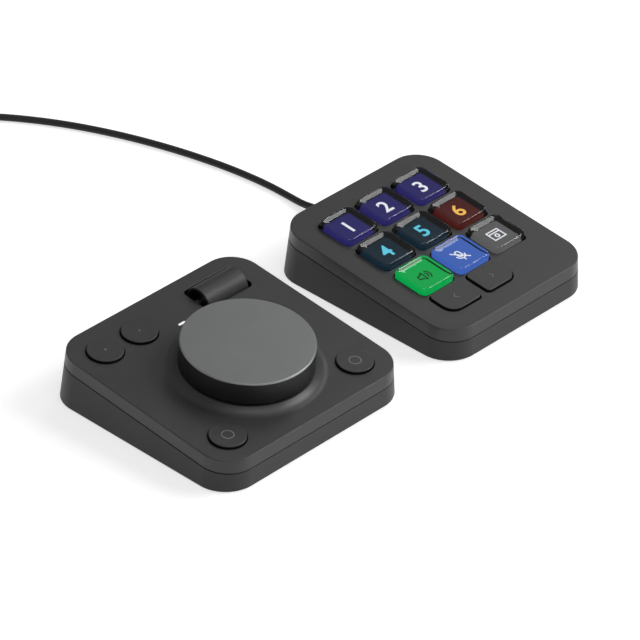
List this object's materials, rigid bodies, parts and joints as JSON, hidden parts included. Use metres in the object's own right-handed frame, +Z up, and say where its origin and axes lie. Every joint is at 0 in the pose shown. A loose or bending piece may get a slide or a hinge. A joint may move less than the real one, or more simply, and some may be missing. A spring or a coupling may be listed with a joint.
{
  "type": "macro keypad with knobs",
  "caption": "Desktop macro control set: a wedge-shaped pad with clear picture keys on a cord, beside a pad with a large turning dial, a roller and round push buttons.",
  "frame": {"origin": "middle of the two units' common outline, on the desk", "axes": "+X to the right along the row of the two units, +Y to the back, +Z up"},
  "size_m": [0.1927, 0.275, 0.031],
  "materials": {
    "housing": "matt graphite moulding",
    "base": "matt graphite moulding",
    "button": "matt graphite",
    "key": "clear, polished",
    "dial_skirt": "satin black",
    "dial_face": "dark anodised, turned",
    "roller": "satin grey",
    "steel": "plain",
    "bush": "plain",
    "foot": "matt",
    "mat": "matt",
    "display": "polished, lit from behind",
    "inner_plastic": "plain black",
    "board": "green lacquer",
    "switch": "plain black",
    "connector": "plated",
    "plug": "satin black",
    "cord": "matt black",
    "light": "diffusing white",
    "battery": "plain sleeve"
  },
  "bodies": {
    "housings": {"keypad_top_cover": "housing", "keypad_base": "base", "keypad_feet": "foot", "keypad_screws": "steel", "key_mat": "mat", "display_panel": "display", "display_tray": "inner_plastic", "keypad_board": "board", "keypad_switches": "switch", "usb_socket": "connector", "socket_board": "board", "plug_relief": "plug", "plug_grip": "plug", "plug_tip": "connector", "cord": "cord", "cord_coil": "cord", "cord_tail": "cord", "far_plug_relief": "plug", "far_plug_grip": "plug", "far_plug_tip": "connector", "dialpad_top_cover": "housing", "dialpad_base": "base", "dialpad_feet": "foot", "dialpad_screws": "steel", "dialpad_board": "board", "button_switches": "switch", "dial_bush": "bush", "dial_encoder": "switch", "roller_cradle": "inner_plastic", "status_light": "light", "battery_1": "battery", "battery_2": "battery", "battery_contacts": "steel", "underside_switches": "switch"},
    "key_1": {"key_1": "key"},
    "key_2": {"key_2": "key"},
    "key_3": {"key_3": "key"},
    "key_4": {"key_4": "key"},
    "key_5": {"key_5": "key"},
    "key_6": {"key_6": "key"},
    "key_7": {"key_7": "key"},
    "key_8": {"key_8": "key"},
    "key_9": {"key_9": "key"},
    "page_button_left": {"page_button_left": "button"},
    "page_button_right": {"page_button_right": "button"},
    "round_button_back_left": {"round_button_back_left": "button"},
    "round_button_back_middle": {"round_button_back_middle": "button"},
    "round_button_front_left": {"round_button_front_left": "button"},
    "round_button_front_right": {"round_button_front_right": "button"},
    "dial": {"dial_skirt": "dial_skirt", "dial_face": "dial_face", "dial_shaft": "steel"},
    "roller": {"roller": "roller", "roller_axle": "steel"},
    "battery_door": {"battery_door": "base"},
    "power_switch": {"power_switch": "switch"},
    "pairing_button": {"pairing_button": "switch"}
  },
  "joints": [
    {"name": "key_1_press", "type": "slide", "parent": "housings", "child": "key_1", "axis": [0, 0.0941, -0.9956], "range_m": [0, 0.001], "stiffness_N_per_m": 400, "springref_m": -0.0004},
    {"name": "key_2_press", "type": "slide", "parent": "housings", "child": "key_2", "axis": [0, 0.0941, -0.9956], "range_m": [0, 0.001], "stiffness_N_per_m": 400, "springref_m": -0.0004},
    {"name": "key_3_press", "type": "slide", "parent": "housings", "child": "key_3", "axis": [0, 0.0941, -0.9956], "range_m": [0, 0.001], "stiffness_N_per_m": 400, "springref_m": -0.0004},
    {"name": "key_4_press", "type": "slide", "parent": "housings", "child": "key_4", "axis": [0, 0.0941, -0.9956], "range_m": [0, 0.001], "stiffness_N_per_m": 400, "springref_m": -0.0004},
    {"name": "key_5_press", "type": "slide", "parent": "housings", "child": "key_5", "axis": [0, 0.0941, -0.9956], "range_m": [0, 0.001], "stiffness_N_per_m": 400, "springref_m": -0.0004},
    {"name": "key_6_press", "type": "slide", "parent": "housings", "child": "key_6", "axis": [0, 0.0941, -0.9956], "range_m": [0, 0.001], "stiffness_N_per_m": 400, "springref_m": -0.0004},
    {"name": "key_7_press", "type": "slide", "parent": "housings", "child": "key_7", "axis": [0, 0.0941, -0.9956], "range_m": [0, 0.001], "stiffness_N_per_m": 400, "springref_m": -0.0004},
    {"name": "key_8_press", "type": "slide", "parent": "housings", "child": "key_8", "axis": [0, 0.0941, -0.9956], "range_m": [0, 0.001], "stiffness_N_per_m": 400, "springref_m": -0.0004},
    {"name": "key_9_press", "type": "slide", "parent": "housings", "child": "key_9", "axis": [0, 0.0941, -0.9956], "range_m": [0, 0.001], "stiffness_N_per_m": 400, "springref_m": -0.0004},
    {"name": "page_left_press", "type": "slide", "parent": "housings", "child": "page_button_left", "axis": [0, 0.0941, -0.9956], "range_m": [0, 0.0005], "stiffness_N_per_m": 400, "springref_m": -0.0004},
    {"name": "page_right_press", "type": "slide", "parent": "housings", "child": "page_button_right", "axis": [0, 0.0941, -0.9956], "range_m": [0, 0.0005], "stiffness_N_per_m": 400, "springref_m": -0.0004},
    {"name": "round_back_left_press", "type": "slide", "parent": "housings", "child": "round_button_back_left", "axis": [0, 0.0941, -0.9956], "range_m": [0, 0.0006], "stiffness_N_per_m": 400, "springref_m": -0.0004},
    {"name": "round_back_middle_press", "type": "slide", "parent": "housings", "child": "round_button_back_middle", "axis": [0, 0.0941, -0.9956], "range_m": [0, 0.0006], "stiffness_N_per_m": 400, "springref_m": -0.0004},
    {"name": "round_front_left_press", "type": "slide", "parent": "housings", "child": "round_button_front_left", "axis": [0, 0.0941, -0.9956], "range_m": [0, 0.0006], "stiffness_N_per_m": 400, "springref_m": -0.0004},
    {"name": "round_front_right_press", "type": "slide", "parent": "housings", "child": "round_button_front_right", "axis": [0, 0.0941, -0.9956], "range_m": [0, 0.0006], "stiffness_N_per_m": 400, "springref_m": -0.0004},
    {"name": "pairing_press", "type": "slide", "parent": "housings", "child": "pairing_button", "axis": [0, 0, 1], "range_m": [0, 0.0006], "stiffness_N_per_m": 400, "springref_m": -0.0004},
    {"name": "dial_turn", "type": "hinge", "parent": "housings", "child": "dial", "pos_m": [-0.04923, -0.00954, 0.01656], "axis": [0, -0.0941, 0.9956], "continuous": true},
    {"name": "roller_turn", "type": "hinge", "parent": "housings", "child": "roller", "pos_m": [-0.02478, 0.03008, 0.01829], "axis": [1, 0, 0], "continuous": true},
    {"name": "battery_door_tilt", "type": "hinge", "parent": "housings", "child": "battery_door", "pos_m": [-0.06523, 0.00458, 0.0003], "axis": [-1, 0, 0], "range_deg": [0, 35]},
    {"name": "power_slide", "type": "slide", "parent": "housings", "child": "power_switch", "axis": [1, 0, 0], "range_m": [0, 0.003]}
  ]
}
